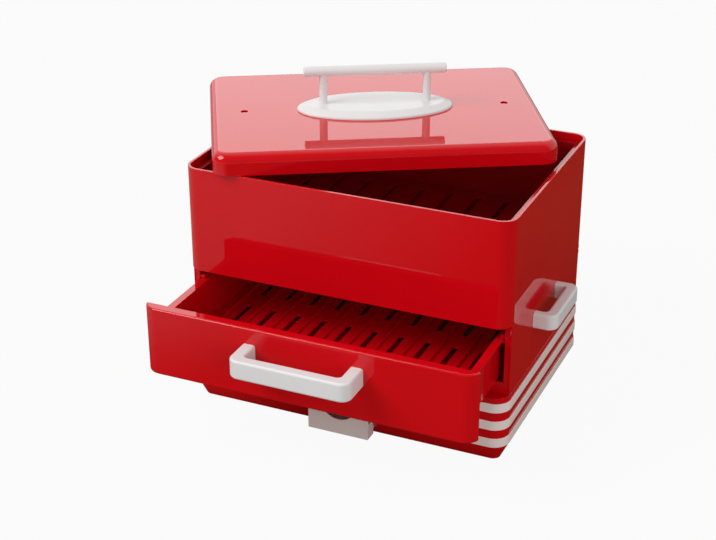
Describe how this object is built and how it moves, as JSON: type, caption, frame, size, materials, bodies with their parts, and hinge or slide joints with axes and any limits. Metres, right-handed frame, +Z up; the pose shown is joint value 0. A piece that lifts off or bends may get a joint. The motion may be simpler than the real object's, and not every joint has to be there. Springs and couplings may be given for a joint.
{
  "type": "two-tier countertop steamer",
  "caption": "Boxy red countertop steamer with a pull-out slotted drawer, lift-out upper tray, loose lid with bar handle, banded base with water tank and drip tray.",
  "frame": {"origin": "on the table plane under the middle of the housing's plan", "axes": "+Z up, front with the drawer and drip tray towards -Y, +X to the right seen from the front"},
  "size_m": [0.4193, 0.4642, 0.3153],
  "materials": {
    "red_plastic": "glossy moulded red plastic",
    "dark_red_plastic": "glossy moulded red plastic",
    "white_plastic": "satin-gloss moulded white plastic",
    "tank_aluminium": "pressed aluminium",
    "steel": "zinc-plated steel",
    "black_plastic": "matt black plastic",
    "cream_plastic": "matt cream plastic",
    "foot_rubber": "matt black rubber"
  },
  "bodies": {
    "body": {"base_shell": "red_plastic", "bottom_cover": "dark_red_plastic", "rubber_feet": "foot_rubber", "trim_band_upper": "white_plastic", "trim_band_middle": "white_plastic", "trim_band_lower": "white_plastic", "housing": "red_plastic", "water_tank": "tank_aluminium", "heater_plate": "tank_aluminium", "heating_element": "steel", "thermostat": "black_plastic", "thermal_fuse": "steel", "terminal_block": "cream_plastic", "cord_gland": "black_plastic", "bottom_screws": "steel", "housing_screws": "steel", "side_handle_left": "white_plastic", "side_handle_right": "white_plastic", "side_handle_screws": "steel"},
    "drawer": {"drawer_front": "red_plastic", "drawer_tub": "red_plastic", "drawer_handle": "white_plastic", "drawer_handle_screws": "steel"},
    "drip_tray": {"drip_tray": "white_plastic"},
    "upper_tray": {"upper_tray": "dark_red_plastic"},
    "lid": {"lid_shell": "red_plastic", "lid_handle_plate": "white_plastic", "lid_handle_posts": "white_plastic", "lid_handle_bar": "white_plastic", "lid_handle_screws": "steel"}
  },
  "joints": [
    {"name": "drawer_slide", "type": "slide", "parent": "body", "child": "drawer", "axis": [0, -1, 0], "range_m": [-0.086, 0.05]},
    {"name": "drip_tray_slide", "type": "slide", "parent": "body", "child": "drip_tray", "axis": [0, -1, 0], "range_m": [0, 0.06]},
    {"name": "tray_lift", "type": "slide", "parent": "body", "child": "upper_tray", "axis": [0, 0, 1], "range_m": [0, 0.1]},
    {"name": "lid_lift", "type": "slide", "parent": "upper_tray", "child": "lid", "axis": [0, 0, 1], "range_m": [0, 0.12]}
  ]
}
